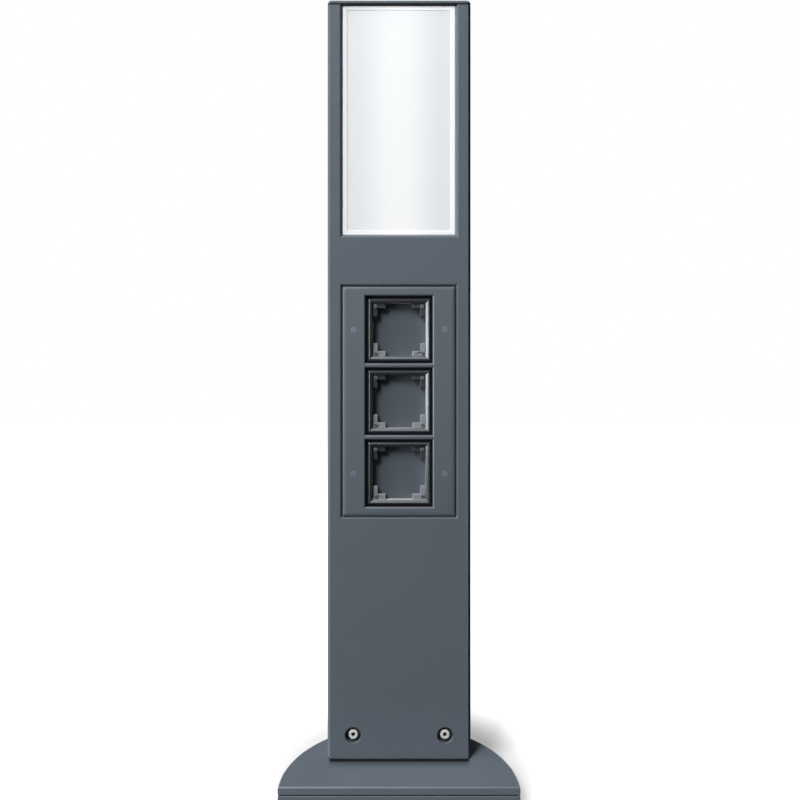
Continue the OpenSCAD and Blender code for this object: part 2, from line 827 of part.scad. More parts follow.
module rib_screw_hole() {
    translate([0, rear_rib_y - over, 0]) into_post()
        cylinder(d = m4_d + 2 * thread_gap, h = rib_bite + fit_gap + over);
}

module plate_screws() {
    color("silver") at_mount_screws() rib_screw(mount_t);
}

module at_terminal_fixings() {
    reach = (poles * pole_w + terminal_foot_reach) / 2;
    for (x = [terminal_x - reach, terminal_x + reach]) translate([x, 0, base_h + terminal_mid]) children();
}

module at_terminal_screws() {
    for (pole = [0 : poles - 1], up = [-1, 1])
        translate([terminal_x + (pole + 0.5 - poles / 2) * pole_w, 0,
            base_h + terminal_mid + up * terminal_h / 4]) children();
}

module terminal_block() {
    body_w = poles * pole_w;
    foot_w = body_w + 2 * terminal_foot_reach;
    barrier_t = 1.2;
    barrier_rise = 2;
    front = mount_y - terminal_d;
    color("beige") difference() {
        union() {
            translate([terminal_x, front + (terminal_d + barrier_rise) / 2, base_h + terminal_mid])
                cube([body_w, terminal_d - barrier_rise, terminal_h], center = true);
            translate([terminal_x, mount_y - terminal_foot_t / 2, base_h + terminal_mid])
                cube([foot_w, terminal_foot_t, terminal_foot_h], center = true);
            for (pole = [0 : poles]) translate([terminal_x + (pole - poles / 2) * pole_w,
                front + terminal_d / 2, base_h + terminal_mid])
                    cube([barrier_t, terminal_d, terminal_h], center = true);
        }
        at_terminal_screws() translate([0, front - over, 0]) into_post()
            cylinder(d = clamp_screw_d + 2 * fit_gap, h = terminal_d - wire_back + over);
        for (pole = [0 : poles - 1]) translate([terminal_x + (pole + 0.5 - poles / 2) * pole_w,
            mount_y - wire_back, base_h + terminal_mid])
                cylinder(d = wire_hole_d, h = terminal_h + 2 * over, center = true);
        at_terminal_fixings() translate([0, mount_y - terminal_foot_t - over, 0]) into_post()
            cylinder(d = m3_d + 2 * pass_gap, h = terminal_foot_t + 2 * over);
    }
}

module terminal_screws() {
    sunk = 4;
    length = terminal_d - wire_back - sunk - 2;
    slot_t = 1;
    color("goldenrod") at_terminal_screws() translate([0, mount_y - terminal_d + sunk, 0])
        into_post() difference() {
            cylinder(d = clamp_screw_d, h = length);
            translate([-clamp_screw_d, -slot_t / 2, -over]) cube([2 * clamp_screw_d, slot_t, slot_t + over]);
        }
}

module terminal_fixings() {
    color("silver") at_terminal_fixings() translate([0, mount_y - terminal_foot_t, 0]) into_post()
        screw(m3_d, terminal_foot_t + mount_t, m3_head_d, m3_head_h, 2.5);
}

module at_gear_screws() {
    both_sides((gear_w + gear_ear_w) / 2) translate([0, 0, base_h + gear_low + gear_l / 2]) children();
}

module control_gear() {
    color("white") difference() {
        union() {
            bevelled_gear_case();
            translate([0, mount_y - gear_ear_t / 2, base_h + gear_low + gear_l / 2])
                cube([gear_w + 2 * gear_ear_w, gear_ear_t, gear_ear_h], center = true);
        }
        at_gear_screws() translate([0, mount_y - gear_ear_t - over, 0]) into_post()
            cylinder(d = m4_d + 2 * pass_gap, h = gear_ear_t + 2 * over);
    }
}

// The case of the control gear: a moulded lid with bevelled edges
module bevelled_gear_case() {
    bevel = 3;
    translate([0, 0, base_h + gear_low + gear_l / 2])
        bevelled_block(gear_w, gear_l, mount_y - gear_d, mount_y, bevel, bevel);
}

module gear_screws() {
    color("silver") at_gear_screws() translate([0, mount_y - gear_ear_t, 0]) into_post()
        screw(m4_d, gear_ear_t + mount_t, m4_head_d, m4_head_h, 3);
}

module earth_stud() {
    stud_l = 18;
    color("goldenrod") translate([earth_x, mount_y - stud_l, base_h + terminal_mid]) into_post()
        cylinder(d = earth_d, h = stud_l);
}

module earth_nuts() {
    nut_w = 10;
    nut_h = 5;
    washer_d = 14;
    washer_t = 1.5;
    color("goldenrod") translate([earth_x, mount_y, base_h + terminal_mid]) rotate([90, 0, 0]) {
        for (z = [0, nut_h + washer_t]) translate([0, 0, z]) difference() {
            cylinder(d = nut_w / cos(30), h = nut_h, $fn = 6);
            translate([0, 0, -over]) cylinder(d = earth_d + 2 * thread_gap, h = nut_h + 2 * over);
        }
        translate([0, 0, nut_h]) difference() {
            cylinder(d = washer_d, h = washer_t);
            translate([0, 0, -over]) cylinder(d = earth_d + 2 * thread_gap, h = washer_t + 2 * over);
        }
    }
}

// The lead to the lamp: out of the gear, up beside the boxes, through the floor, to the holder
module lamp_lead() {
    low = gear_out_z + lead_bend;
    high = holder_in_z - lead_bend;
    color("white") translate([0, lead_y, 0]) {
        translate([gear_w / 2, 0, gear_out_z]) rotate([0, 90, 0])
            cylinder(d = lead_d, h = lead_x - lead_bend - gear_w / 2);
        translate([lead_x - lead_bend, 0, low]) rotate([90, 0, 0]) rotate(-90)
            rotate_extrude(angle = 90) translate([lead_bend, 0]) circle(d = lead_d);
        translate([lead_x, 0, low]) cylinder(d = lead_d, h = high - low);
        translate([lead_x - lead_bend, 0, high]) rotate([90, 0, 0])
            rotate_extrude(angle = 90) translate([lead_bend, 0]) circle(d = lead_d);
        translate([holder_w / 2, 0, holder_in_z]) rotate([0, 90, 0])
            cylinder(d = lead_d, h = lead_x - lead_bend - holder_w / 2);
    }
}

module lead_bush() {
    hole_d = lead_d + 5;
    rim = 2;
    color("black") translate([lead_x, lead_y, floor_z - floor_t]) difference() {
        union() {
            translate([0, 0, -rim]) cylinder(d = hole_d + 4, h = rim);
            cylinder(d = hole_d, h = floor_t);
            translate([0, 0, floor_t]) cylinder(d = hole_d + 4, h = rim);
        }
        translate([0, 0, -rim - over]) cylinder(d = lead_d + 2 * thread_gap, h = floor_t + 2 * (rim + over));
    }
}

module at_floor_screws() {
    both_sides(rear_rib_x) translate([0, 0, floor_z - floor_t - 10]) children();
}

module light_floor() {
    tab_h = 18;
    tab_x = rear_rib_x + 8;
    bush_hole_d = lead_d + 5 + 2 * thread_gap;
    rib_in = inner_x - rib_reach - fit_gap;
    color("white") difference() {
        union() {
            translate([0, 0, floor_z - floor_t]) linear_extrude(floor_t) difference() {
                column_outline(wall + fit_gap);
                for (side = [-1, 1]) {
                    translate([side * channel_x, channel_y]) circle(d = channel_d + 2 * fit_gap);
                    translate([side * (rib_in + 5), wall_y + slot_w + rib_t / 2])
                        square([10, rib_t + 2 * fit_gap], center = true);
                }
                translate([-column_w / 2, rear_rib_y]) square([column_w, column_d]);
                translate([lead_x, lead_y]) circle(d = bush_hole_d);
            }
            carry_y(rear_rib_y - floor_t, floor_t) translate([-tab_x, floor_z - floor_t - tab_h])
                square([2 * tab_x, tab_h + floor_t / 2]);
        }
        at_floor_screws() translate([0, rear_rib_y - floor_t - over, 0]) into_post()
            cylinder(d = m4_d + 2 * pass_gap, h = floor_t + 2 * over);
        at_holder_screws() translate([0, 0, floor_z - floor_t - over])
            cylinder(d = m3_d + 2 * thread_gap, h = floor_t + 2 * over);
    }
}

module floor_screws() {
    color("silver") at_floor_screws() rib_screw(floor_t);
}

module at_holder_screws() {
    both_sides((holder_w + holder_ear_w) / 2) translate([0, holder_ear_y + holder_ear_d / 2, 0]) children();
}

module lamp_holder() {
    throat_w = holder_w - 2 * throat_wall;
    throat_d = holder_d - 2 * throat_wall;
    color("ghostwhite") difference() {
        union() {
            translate([-holder_w / 2, lamp_y - holder_d / 2, floor_z]) cube([holder_w, holder_d, holder_h]);
            translate([-holder_w / 2 - holder_ear_w, holder_ear_y, floor_z])
                cube([holder_w + 2 * holder_ear_w, holder_ear_d, holder_ear_t]);
        }
        translate([-throat_w / 2, lamp_y - throat_d / 2, holder_top - throat_h])
            cube([throat_w, throat_d, throat_h + over]);
        for (x = pin_xs) translate([x, lamp_y, holder_top - throat_h - pin_l])
            cylinder(d = pin_d + 2 * thread_gap, h = pin_l + over);
        at_holder_screws() translate([0, 0, floor_z - over])
            cylinder(d = m3_d + 2 * pass_gap, h = holder_ear_t + 2 * over);
    }
}

module holder_screws() {
    color("silver") at_holder_screws() translate([0, 0, floor_z + holder_ear_t]) mirror([0, 0, 1])
        screw(m3_d, holder_ear_t + floor_t, m3_head_d, m3_head_h, 2.5);
}

module lamp_base() {
    body_w = holder_w - 2;
    body_d = holder_d - 2;
    foot_w = holder_w - 2 * throat_wall - 2 * pass_gap;
    foot_d = holder_d - 2 * throat_wall - 2 * pass_gap;
    vent_w = body_w - 8;
    vent_h = 1.6;
    vent_d = 0.6;
    color("white") translate([0, lamp_y, holder_top]) difference() {
        union() {
            translate([-foot_w / 2, -foot_d / 2, -throat_h]) cube([foot_w, foot_d, throat_h + over]);
            translate([-body_w / 2, -body_d / 2, 0]) cube([body_w, body_d, lamp_base_h]);
        }
        for (side = [-1, 1], part = [0.25, 0.42, 0.59])
            translate([0, side * body_d / 2, part * lamp_base_h])
                cube([vent_w, 2 * vent_d, vent_h], center = true);
    }
}

module lamp_pins() {
    color("goldenrod") for (x = pin_xs) translate([x, lamp_y, holder_top - throat_h - pin_l + pass_gap])
        cylinder(d = pin_d, h = pin_l - pass_gap);
}

module lamp_tubes() {
    low = holder_top + lamp_base_h;
    high = column_top - lamp_room - tube_d / 2;
    bridge_d = tube_d / 2;
    color("white") translate([0, lamp_y, 0]) {
        both_sides(tube_dx / 2) {
            translate([0, 0, low]) cylinder(d = tube_d, h = high - low);
            translate([0, 0, high]) sphere(d = tube_d);
        }
        translate([0, 0, high - bridge_d]) rotate([0, 90, 0])
            cylinder(d = bridge_d, h = tube_dx, center = true);
    }
}

module at_reflector_screws() {
    for (z = [reflector_low + reflector_screw_in, reflector_high - reflector_screw_in])
        both_sides(rear_rib_x) translate([0, 0, z]) children();
}

module reflector() {
    back_y = rear_rib_y;
    face_y = back_y - reflector_t;
    slope = reflector_t * 1.1;
    color("white") difference() {
        translate([0, 0, reflector_low]) linear_extrude(reflector_high - reflector_low) polygon([
            [-reflector_front_x, reflector_front_y], [-reflector_back_x, back_y],
            [reflector_back_x, back_y], [reflector_front_x, reflector_front_y],
            [reflector_front_x - slope, reflector_front_y], [reflector_back_x - slope / 2, face_y],
            [-reflector_back_x + slope / 2, face_y], [-reflector_front_x + slope, reflector_front_y]]);
        at_reflector_screws() translate([0, face_y - over, 0]) into_post()
            cylinder(d = m4_d + 2 * pass_gap, h = reflector_t + 2 * over);
    }
}

module reflector_screws() {
    color("silver") at_reflector_screws() rib_screw(reflector_t);
}

module diffuser() {
    edge_x = inner_x - rib_reach - 4;
    edge_w = 3;
    back = diffuser_y + diffuser_t;
    lens_w = window_w - fit_gap;
    lens_z = base_h + window_sill + fit_gap;
    lens_h = diffuser_top - lens_z;
    face_in = rim_w + rim_slope;
    color("ivory") difference() {
        union() {
            translate([0, 0, floor_z]) linear_extrude(diffuser_top - floor_z) {
                translate([-diffuser_w / 2, diffuser_y]) square([diffuser_w, diffuser_t]);
                for (side = [-1, 1]) translate([side * (edge_x + edge_w / 2) - edge_w / 2, back - over])
                    square([edge_w, diffuser_edge + over]);
            }
            translate([-lens_w / 2, rim_y, lens_z]) cube([lens_w, back - rim_y, lens_h]);
        }
        translate([0, 0, lens_z + lens_h / 2]) bevelled_hole(lens_w - 2 * face_in, lens_h - 2 * face_in,
            rim_y, rim_y + rim_d - over, rim_slope, rim_d / 2);
    }
}

// A round part of the cap: a cylinder with its upper and lower edges rounded in steps
module cap_round(r) {
    for (step = [0 : len(cap_steps) - 2]) {
        low = cap_steps[step];
        high = cap_steps[step + 1];
        translate([0, 0, low[1]])
            cylinder(r1 = r - low[0], r2 = r - high[0], h = high[1] - low[1], $fn = 180);
    }
}

// The space behind the slanted front edge of the cap on the right
module cap_edge_cut() {
    deep = column_w + column_d;
    translate([column_w / 2 - edge_cut_w, front_y, 0]) rotate([0, 0, atan2(edge_cut_d, edge_cut_w)])
        carry_x(2 * column_w) polygon(concat(cap_steps, [[deep, cap_t], [deep, 0]]));
}

module cap_plate() {
    half = column_w / 2;
    last = len(cap_steps) - 1;
    side_section = concat([for (p = cap_steps) [-half + p[0], p[1]]],
        [for (i = [last : -1 : 0]) [half - cap_steps[i][0], cap_steps[i][1]]]);
    front_section = concat([for (p = cap_steps) [front_y + p[0], p[1]]], [[turn_y, cap_t], [turn_y, 0]]);
    color("slategray") difference() {
        translate([0, 0, base_h + post_h - cap_t]) union() {
            intersection() {
                cap_edge_cut();
                mirror([1, 0, 0]) cap_edge_cut();
                carry_x(column_w + 2 * over) polygon(front_section);
                translate([0, turn_y, 0]) rotate([90, 0, 0])
                    linear_extrude(turn_y - front_y + over) polygon(side_section);
            }
            both_sides(turn_x) translate([0, turn_y, 0]) cap_round(rear_corner_r);
            intersection() {
                translate([0, arc_y, 0]) cap_round(column_arc_r);
                linear_extrude(cap_t) rear_sector();
            }
        }
        at_cap_screws() translate([0, 0, base_h + post_h]) mirror([0, 0, 1])
            sunk_hole(cap_screw_d, cap_t, 2 * cap_screw_d);
    }
}

module cap_seal() {
    color("black") translate([0, 0, column_top]) linear_extrude(cap_seal_t) difference() {
        column_outline(seal_recess);
        column_outline(wall - fit_gap);
    }
}

module cap_screws() {
    grip = 14;
    color("silver") at_cap_screws() translate([0, 0, base_h + post_h]) mirror([0, 0, 1])
        sunk_screw(cap_screw_d, cap_t + cap_seal_t + grip, 2 * cap_screw_d, 2.5);
}

base_plate();
base_seal();
base_cover();
cover_screws();
cable_bush();
foot_brackets();
foot_bolts();
bracket_nuts();
foot_seal();
column_profile();
screw_pads();
column_screws();
chassis();
for (bay = [0 : 2]) {
    device_box(bays[bay]);
    insert_frame(bays[bay]);
    blank_plate(bays[bay]);
    corner_clips(bays[bay]);
}
box_links();
clip_screws();
socket_panel();
panel_seal();
panel_screws();
mounting_plate();
plate_screws();
terminal_block();
terminal_screws();
terminal_fixings();
control_gear();
gear_screws();
earth_stud();
earth_nuts();
lamp_lead();
lead_bush();
light_floor();
floor_screws();
lamp_holder();
holder_screws();
lamp_base();
lamp_pins();
lamp_tubes();
reflector();
reflector_screws();
diffuser();
cap_plate();
cap_seal();
cap_screws();
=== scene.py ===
# %% [markdown]
# A garden socket post: an extruded aluminium column on a half-round base. A lamp stands behind an
# opal cover at the top, and the panel below it has three empty square bays.
# The solids come from the CAD model. This lesson dresses them: it softens the edges of those that
# show most, makes most screws again with threads and sockets, and mixes a finish for each
# material.

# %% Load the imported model
import json
import math

import bmesh
import bpy
import numpy as np
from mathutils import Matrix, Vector


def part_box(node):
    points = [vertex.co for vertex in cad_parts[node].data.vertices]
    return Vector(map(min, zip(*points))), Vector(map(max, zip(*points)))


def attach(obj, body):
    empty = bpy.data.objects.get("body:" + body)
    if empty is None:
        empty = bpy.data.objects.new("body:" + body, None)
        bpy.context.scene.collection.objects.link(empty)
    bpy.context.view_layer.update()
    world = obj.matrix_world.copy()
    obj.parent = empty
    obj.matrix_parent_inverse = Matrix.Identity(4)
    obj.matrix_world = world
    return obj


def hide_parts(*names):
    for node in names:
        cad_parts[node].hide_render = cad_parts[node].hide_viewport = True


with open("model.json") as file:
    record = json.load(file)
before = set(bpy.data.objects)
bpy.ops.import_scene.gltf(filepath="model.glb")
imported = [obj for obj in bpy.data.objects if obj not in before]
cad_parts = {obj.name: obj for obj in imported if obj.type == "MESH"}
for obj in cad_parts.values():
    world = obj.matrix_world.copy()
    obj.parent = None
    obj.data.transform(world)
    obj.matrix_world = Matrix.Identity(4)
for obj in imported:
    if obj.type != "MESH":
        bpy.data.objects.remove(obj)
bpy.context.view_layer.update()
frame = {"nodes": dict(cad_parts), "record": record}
nodes = frame["nodes"]

# %% [markdown]
# The photograph looks level: the post's upright edges are parallel in it, which a tilted camera
# would not give. So the camera stays level, at about half the post's height, and a small vertical
# shift moves the frame down to the base. Distance, height, side and shift were fitted to where
# the edges lie in the photograph.

# %% Camera
MM = 0.001
camera_distance = 691.6 * MM
camera_height = 392.3 * MM
camera_x = 0.9 * MM
front_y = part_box("column_profile")[0].y

camera_data = bpy.data.cameras.new("View from the front")
camera_data.lens = 31.5
camera_data.sensor_width = 36.0
camera_data.shift_y = -0.0226
camera = bpy.data.objects.new("View from the front", camera_data)
camera.location = (camera_x, front_y - camera_distance, camera_height)
camera.rotation_euler = (math.pi / 2, 0, 0)
bpy.context.collection.objects.link(camera)
bpy.context.scene.camera = camera
print("camera at", tuple(round(c, 4) for c in camera.location))

# %% [markdown]
# A finish is a network of small nodes. Written out by hand, each sum takes four lines, so one
# class wraps a socket: adding or multiplying two signals then adds the Math node by itself, and
# every other node that is added comes from its one method, add.


# %% Shader expressions
# A Mix node has sockets for each kind of data. These are its factor and the ones for colours.
MIX_FACTOR, MIX_FIRST, MIX_SECOND, MIX_RESULT = 0, 6, 7, 2


class Signal:
    """An output socket of a node tree. Sums, differences and products add Math nodes."""

    def __init__(self, tree, socket=None):
        self.tree = tree
        self.socket = socket

    def add(self, kind, settings=None, inputs=None, output=0):
        """Adds a node: first its settings, then a number, a colour or a signal for each input."""
        node = self.tree.nodes.new(kind)
        for name, value in (settings or {}).items():
            setattr(node, name, value)
        for name, value in (inputs or {}).items():
            if isinstance(value, Signal):
                self.tree.links.new(value.socket, node.inputs[name])
            else:
                node.inputs[name].default_value = value
        return Signal(self.tree, node.outputs[output] if node.outputs else None)

    def maths(self, operation, *values):
        """One Math node of that operation on the values, in their order."""
        return self.add("ShaderNodeMath", {"operation": operation}, dict(enumerate(values)))

    def __add__(self, other):
        return self.maths("ADD", self, other)

    def __radd__(self, other):
        return self.maths("ADD", other, self)

    def __sub__(self, other):
        return self.maths("SUBTRACT", self, other)

    def __rsub__(self, other):
        return self.maths("SUBTRACT", other, self)

    def __mul__(self, other):
        return self.maths("MULTIPLY", self, other)

    def __rmul__(self, other):
        return self.maths("MULTIPLY", other, self)

    def step(self, low, high):
        """Rises smoothly from 0 at low to 1 at high."""
        return self.add("ShaderNodeMapRange", {"interpolation_type": "SMOOTHSTEP"},
                        {"Value": self, "From Min": low, "From Max": high})

    def tint(self, color, other):
        """The colour where the signal is 0, the other where it is 1. Either may be a signal."""
        first, second = (c if isinstance(c, Signal) else (*c, 1) for c in (color, other))
        return self.add("ShaderNodeMix", {"data_type": "RGBA"},
                        {MIX_FACTOR: self, MIX_FIRST: first, MIX_SECOND: second},
                        output=MIX_RESULT)


print("shader expressions ready")

# %% [markdown]
# All finishes start alike: a Principled shader, and noise that reads Object coordinates. Since
# every piece lies in the post's own frame, one noise runs on across pieces at its true scale, as
# a coat from one spray booth does. Scales are given as the size of a grain in millimetres.


# %% Starting a finish
class Finish:
    """A material with a Principled shader, its coordinates, and helpers for grain and bump."""

    def __init__(self, name, color, roughness, metallic=0.0, **sockets):
        self.material = bpy.data.materials.new(name)
        self.material.use_nodes = True
        self.material.diffuse_color = (*color, 1)
        tree = self.material.node_tree
        self.shader = next(n for n in tree.nodes if n.type == "BSDF_PRINCIPLED")
        self.start = Signal(tree)
        self.place = self.start.add("ShaderNodeTexCoord", output="Object")
        settings = {"Base Color": (*color, 1), "Roughness": roughness, "Metallic": metallic}
        for name, value in {**settings, **sockets}.items():
            self.shader.inputs[name.replace("_", " ")].default_value = value

    def grain(self, size_mm, detail=2.0, rough=0.5, stretch=(1, 1, 1)):
        """Noise from 0 to 1 whose grains are about that large, longer along a stretched axis."""
        spread = tuple(1 / (size_mm * MM * s) for s in stretch)
        place = self.start.add("ShaderNodeVectorMath", {"operation": "MULTIPLY"},
                               {0: self.place, 1: spread})
        return self.start.add("ShaderNodeTexNoise", {"normalize": True},
                              {"Vector": place, "Scale": 1.0, "Detail": detail, "Roughness": rough})

    def axis(self, name):
        """One coordinate of the point, in metres."""
        return self.start.add("ShaderNodeSeparateXYZ", inputs={"Vector": self.place}, output=name)

    def feed(self, socket, signal):
        """Links a signal that changes over the surface to a socket of the shader."""
        self.material.node_tree.links.new(signal.socket, self.shader.inputs[socket])

    def bump(self, height, depth_mm):
        """Turns a height between 0 and 1 into relief of that depth."""
        self.feed("Normal", self.start.add("ShaderNodeBump", inputs={
            "Height": height, "Distance": depth_mm * MM, "Strength": 1.0}))


def shade(color, factor):
    """The colour made lighter or darker by a factor."""
    return tuple(min(1.0, c * factor) for c in color)


print("finish helpers ready")

# %% [markdown]
# The column, cap, base and panel are powder coated in one blue-grey. It is a fifth lighter on the
# base, as painted light, and darker on the plates behind the bays, as painted shade in the
# recesses; both were fitted to the photograph. The powder melts into a skin with a fine orange
# peel, so the coat is smooth but never a mirror. One flat colour would look like plastic, so noise
# shifts it a little: clouds and specks in the tone, streaks in the roughness, and a fine relief.
# The base takes more dust, so its roughness varies more.
# The photograph is dark on the base in front of the post, most likely from the post's own shadow.
# The lamps here don't give that shadow, so the strip is painted shadow. The insert frames have a
# metallic coat whose slopes mirror the lamp at the left, and their inner walls are painted nearly
# black as painted shade in the recess, as they look in the photograph.


# %% Powder coat
nearly_black = (0.01, 0.011, 0.012)
post_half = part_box("column_profile")[1].x


# Painted shadow of the post on the base.
def painted_post_shadow(coat):
    """Painted shadow: about a half on the base close in front of the post, under it and behind it,
    else 0.
    """
    ahead = front_y - coat.axis("Y")
    beside = coat.start.maths("ABSOLUTE", coat.axis("X"))
    near = 1 - ahead.step(2 * MM, 18 * MM)
    within = 1 - beside.step(post_half - 5 * MM, post_half)
    return near * within * 0.55


def painted_recess_shade(coat):
    """Painted shade: nearly 1 on the inner walls of the insert frames, and 0 on their slopes in
    front.
    """
    return (coat.axis("Y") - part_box("insert_frame_1")[0].y).step(1.3 * MM, 1.9 * MM) * 0.9


def powder_coat(name, color, roughness, dust=0.0, gloss=0.15, metallic=0.0, dark=None):
    """The coat. Dark is a function that says where, from 0 to 1, painted shade makes it nearly
    black.
    """
    coat = Finish(name, color, roughness, metallic, Specular_IOR_Level=gloss)
    clouds = coat.grain(60, detail=3)
    speck = coat.grain(0.9, detail=1)
    painted = (clouds * 0.7 + speck * 0.3).tint(shade(color, 0.94), shade(color, 1.06))
    if dark:
        painted = dark(coat).tint(painted, nearly_black)
    coat.feed("Base Color", painted)
    wiped = coat.grain(25, detail=4, stretch=(1, 1, 3)).step(0.35, 0.75)
    coat.feed("Roughness", wiped * (0.07 + dust) + roughness)
    coat.bump(coat.grain(0.7, detail=2), 0.012)
    return coat.material


grey_blue = (0.121, 0.144, 0.172)
column_coat = powder_coat("column_coat", grey_blue, 0.5)
# Painted light: the base's coat is a fifth lighter, as if lit more than the column.
base_coat = powder_coat("base_coat", shade(grey_blue, 1.2), 0.3, dust=0.05, gloss=0.4,
                        dark=painted_post_shadow)
panel_coat = powder_coat("panel_coat", shade(grey_blue, 0.97), 0.3, gloss=0.4)
# Painted shade: the inner walls of the frames are painted nearly black.
frame_coat = powder_coat("frame_coat", (0.15, 0.165, 0.185), 0.16, gloss=0.7, metallic=0.75,
                         dark=painted_recess_shade)
# Painted shade: the plates behind the bays are darker, for the shade in the recesses.
tray_coat = powder_coat("tray_coat", shade(grey_blue, 0.84), 0.5)
# The chassis is a black coating, made nearly black as painted shade in the gaps round the frames.
black_steel = powder_coat("black_steel", (0.010, 0.010, 0.011), 0.6)
print("coats mixed")

# %% [markdown]
# The opal cover is thick acrylic that scatters light. It looks brightest in the middle and falls
# off to both sides. True scattering would be noisy and slow, so the solid stays opaque, and the
# bright band is painted light, laid on as colour across X. The cover also glows with painted light
# of its own, though the lamp behind it is not lit: some everywhere, a little more in the band, and
# a painted highlight on the raised rim and on the slope inside it, which look white in the
# photograph.


# %% Opal acrylic
cover_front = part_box("diffuser")[0].y
front_corners = [v.co for v in nodes["diffuser"].data.vertices if v.co.y < cover_front + 0.1 * MM]
lens_half = max(c.x for c in front_corners)
lens_low = min(c.z for c in front_corners)
lens_high = max(c.z for c in front_corners)
print("opal cover's front:", round(lens_half, 4), round(lens_low, 4), round(lens_high, 4))


def opal_acrylic():
    """The cover, with a painted glow and a painted highlight on its rim. The rim is found by the
    distance outwards from the outline of its front.
    """
    side, middle = (0.76, 0.785, 0.81), (0.83, 0.845, 0.86)
    opal = Finish("opal_acrylic", side, 0.32, Specular_IOR_Level=0.4, Emission_Strength=0.5)
    across = opal.start.maths("ABSOLUTE", opal.axis("X"))
    # Painted light: a bright band across X, as if lit by the lamp behind.
    painted_glow_band = 1 - across.step(4 * MM, 44 * MM)
    haze = opal.grain(30, detail=1) * 0.12
    glow = painted_glow_band * 0.9 + haze
    outwards = opal.start.maths("MAXIMUM", across - lens_half, lens_low - opal.axis("Z"))
    outwards = opal.start.maths("MAXIMUM", outwards, opal.axis("Z") - lens_high)
    # Painted highlight on the raised rim and on the slope inside it.
    rim = outwards.step(-5.2 * MM, -3.6 * MM) * (1 - outwards.step(0.2 * MM, 1.5 * MM))
    # Painted light: the cover glows by itself, though the lamp behind it is not lit.
    own_light = glow * 0.2 + 0.24 + rim * 0.22
    opal.feed("Base Color", glow.tint(side, middle))
    opal.feed("Emission Color", own_light.tint((0, 0, 0), (0.98, 0.99, 1.0)))
    opal.bump(opal.grain(1.5), 0.004)
    return opal.material


opal_white = opal_acrylic()
print("opal cover mixed")

# %% [markdown]
# Seals and bushes are black rubber and most screws stainless steel. The foot screws have a pale
# matt zinc-flake skin and the clip screws a darker one. The panel screws are coated in a paler
# grey than the panel. A few plain values would do for pieces this small, but the panel and the
# cover come off and show them, so rubber gets a dull mottled skin, turned steel fine bands like
# the rings that a lathe leaves, and plated steel cloudy patches.


# %% Rubber and metals
def rubber(color):
    """A dull skin whose mottle changes tone and roughness."""
    skin = Finish("seal_rubber", color, 0.7, Specular_IOR_Level=0.12)
    mottle = skin.grain(4, detail=3)
    skin.feed("Base Color", mottle.tint(shade(color, 0.65), shade(color, 1.5)))
    skin.feed("Roughness", mottle * 0.2 + 0.6)
    skin.bump(skin.grain(0.6), 0.03)
    return skin.material


def turned_steel(name, color, roughness):
    """Bare metal with fine bands across the Y axis, along which most screws lie."""
    steel = Finish(name, color, roughness, metallic=1.0)
    rings = steel.grain(0.35, detail=2, stretch=(8, 1, 8))
    steel.feed("Base Color", rings.tint(shade(color, 0.82), shade(color, 1.1)))
    steel.feed("Roughness", rings * 0.2 + (roughness - 0.08))
    steel.bump(rings, 0.006)
    return steel.material


def plated_steel(name, color, roughness, metallic=1.0):
    """A plated skin with cloudy patches."""
    steel = Finish(name, color, roughness, metallic)
    patch = steel.grain(7, detail=4, rough=0.6)
    steel.feed("Base Color", patch.tint(shade(color, 0.75), shade(color, 1.12)))
    steel.feed("Roughness", patch * 0.25 + (roughness - 0.1))
    steel.bump(steel.grain(0.8), 0.01)
    return steel.material


black_rubber = rubber((0.013, 0.013, 0.014))
stainless = turned_steel("stainless", (0.82, 0.82, 0.81), 0.2)
# Painted shade: dark steel lines the screws' sockets, for the shade in their depth.
dark_steel = turned_steel("dark_steel", (0.03, 0.03, 0.034), 0.45)
brass = turned_steel("brass", (0.72, 0.50, 0.22), 0.33)
coated_steel = plated_steel("coated_steel", (0.21, 0.245, 0.29), 0.42, metallic=0.3)
grey_flake = plated_steel("grey_flake", (0.21, 0.22, 0.24), 0.4, metallic=0.2)
zinc_flake = plated_steel("zinc_flake", (0.96, 0.96, 0.95), 0.4, metallic=0.15)
zinc_steel = plated_steel("zinc_steel", (0.56, 0.58, 0.60), 0.42)
# Painted shade: the screw pads are dark, for the shade in the holes round the column screws.
pad_alloy = plated_steel("pad_alloy", (0.15, 0.16, 0.17), 0.5, metallic=0.3)
print("rubber and metals mixed")

# %% [markdown]
# Device boxes, lamp holder and control gear are moulded plastic with a fine spark-eroded grain.
# The clips in the bays are dark nylon. The lamp's glass is coated inside with white phosphor. It
# looks like smooth porcelain, so it is an opaque white under a clear coat and not real glass. The
# reflector is white enamelled sheet with slow streaks from rolling.


# %% Plastics, lamp and reflector
def moulded(name, color, roughness, grain_mm=0.5):
    """Plastic with slow flow marks in its tone and a spark-eroded relief."""
    plastic = Finish(name, color, roughness, Specular_IOR_Level=0.45)
    flow = plastic.grain(35, detail=3, stretch=(1, 1, 2))
    plastic.feed("Base Color", flow.tint(shade(color, 0.94), shade(color, 1.05)))
    plastic.feed("Roughness", plastic.grain(6, detail=2) * 0.14 + (roughness - 0.07))
    plastic.bump(plastic.grain(grain_mm, detail=1), 0.015)
    return plastic.material


